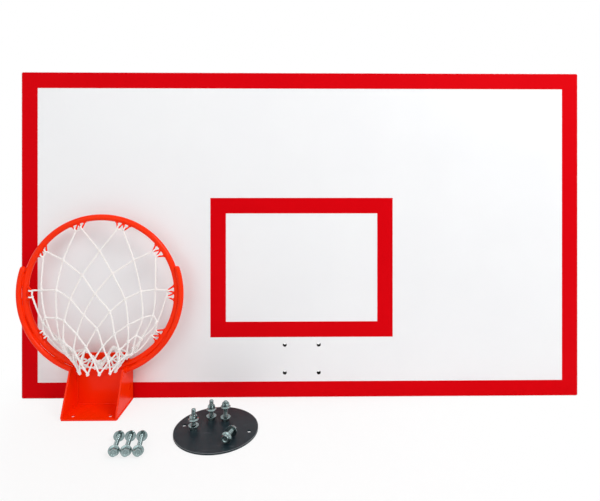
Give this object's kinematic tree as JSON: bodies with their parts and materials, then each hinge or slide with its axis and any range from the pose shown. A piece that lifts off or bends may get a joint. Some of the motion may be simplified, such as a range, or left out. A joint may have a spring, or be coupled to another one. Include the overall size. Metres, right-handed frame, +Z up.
{
  "type": "basketball backboard set",
  "caption": "Upright rectangular backboard with red lines, a fixed orange rim with knotted net on its mounting plate, a round drilled plate and loose flange bolts with nuts.",
  "frame": {"origin": "middle of the board's foot, at half its thickness", "axes": "+Z up, +X to the right along the board as seen from its front, +Y out of the board's back"},
  "size_m": [1.8, 0.3373, 1.05],
  "materials": {
    "board_paint": "satin white paint",
    "line_film": "satin red film",
    "rim_paint": "glossy orange powder coat",
    "net_cord": "white twisted cord",
    "black_paint": "satin black paint",
    "zinc_plate": "bright zinc plating"
  },
  "bodies": {
    "backboard": {"board_panel": "board_paint", "border_line": "line_film", "target_square": "line_film", "round_plate": "black_paint"},
    "rim": {"mount_plate": "rim_paint", "top_plate": "rim_paint", "left_gusset": "rim_paint", "right_gusset": "rim_paint", "ring": "rim_paint", "left_brace": "rim_paint", "right_brace": "rim_paint", "net_hooks": "rim_paint", "net": "net_cord"},
    "short_bolt_1": {"short_bolt_1": "zinc_plate"},
    "short_nut_1": {"short_nut_1": "zinc_plate"},
    "short_bolt_2": {"short_bolt_2": "zinc_plate"},
    "short_nut_2": {"short_nut_2": "zinc_plate"},
    "short_bolt_3": {"short_bolt_3": "zinc_plate"},
    "short_nut_3": {"short_nut_3": "zinc_plate"},
    "short_bolt_4": {"short_bolt_4": "zinc_plate"},
    "short_nut_4": {"short_nut_4": "zinc_plate"},
    "long_bolt_1": {"long_bolt_1": "zinc_plate"},
    "long_nut_1": {"long_nut_1": "zinc_plate"},
    "long_bolt_2": {"long_bolt_2": "zinc_plate"},
    "long_nut_2": {"long_nut_2": "zinc_plate"},
    "long_bolt_3": {"long_bolt_3": "zinc_plate"},
    "long_nut_3": {"long_nut_3": "zinc_plate"}
  },
  "joints": [
    {"name": "rim_slide", "type": "slide", "parent": "backboard", "child": "rim", "axis": [-1, 0, 0], "range_m": [0, 0.3]},
    {"name": "short_bolt_1_lift", "type": "slide", "parent": "backboard", "child": "short_bolt_1", "axis": [0, 0, 1], "range_m": [0, 0.1]},
    {"name": "short_nut_1_turn", "type": "hinge", "parent": "short_bolt_1", "child": "short_nut_1", "pos_m": [-0.3055, -0.201, 0.005], "axis": [0, 0, 1], "continuous": true},
    {"name": "short_bolt_2_lift", "type": "slide", "parent": "backboard", "child": "short_bolt_2", "axis": [0, 0, 1], "range_m": [0, 0.1]},
    {"name": "short_nut_2_turn", "type": "hinge", "parent": "short_bolt_2", "child": "short_nut_2", "pos_m": [-0.265, -0.1515, 0.005], "axis": [0, 0, 1], "continuous": true},
    {"name": "short_bolt_3_lift", "type": "slide", "parent": "backboard", "child": "short_bolt_3", "axis": [0, 0, 1], "range_m": [0, 0.1]},
    {"name": "short_nut_3_turn", "type": "hinge", "parent": "short_bolt_3", "child": "short_nut_3", "pos_m": [-0.223, -0.1575, 0.005], "axis": [0, 0, 1], "continuous": true},
    {"name": "short_bolt_4_lift", "type": "slide", "parent": "backboard", "child": "short_bolt_4", "axis": [0, 0, 1], "range_m": [0, 0.1]},
    {"name": "short_nut_4_turn", "type": "hinge", "parent": "short_bolt_4", "child": "short_nut_4", "pos_m": [-0.2065, -0.2785, 0.0198], "axis": [0.309, 0.9511, 0], "continuous": true},
    {"name": "long_bolt_1_lift", "type": "slide", "parent": "backboard", "child": "long_bolt_1", "axis": [0, 0, 1], "range_m": [0, 0.1]},
    {"name": "long_nut_1_turn", "type": "hinge", "parent": "long_bolt_1", "child": "long_nut_1", "pos_m": [-0.47881, -0.32499, 0.0145], "axis": [-0.1908, 0.9816, 0], "continuous": true},
    {"name": "long_bolt_2_lift", "type": "slide", "parent": "backboard", "child": "long_bolt_2", "axis": [0, 0, 1], "range_m": [0, 0.1]},
    {"name": "long_nut_2_turn", "type": "hinge", "parent": "long_bolt_2", "child": "long_nut_2", "pos_m": [-0.44831, -0.32499, 0.0145], "axis": [-0.1908, 0.9816, 0], "continuous": true},
    {"name": "long_bolt_3_lift", "type": "slide", "parent": "backboard", "child": "long_bolt_3", "axis": [0, 0, 1], "range_m": [0, 0.1]},
    {"name": "long_nut_3_turn", "type": "hinge", "parent": "long_bolt_3", "child": "long_nut_3", "pos_m": [-0.41781, -0.32499, 0.0145], "axis": [-0.1908, 0.9816, 0], "continuous": true}
  ]
}
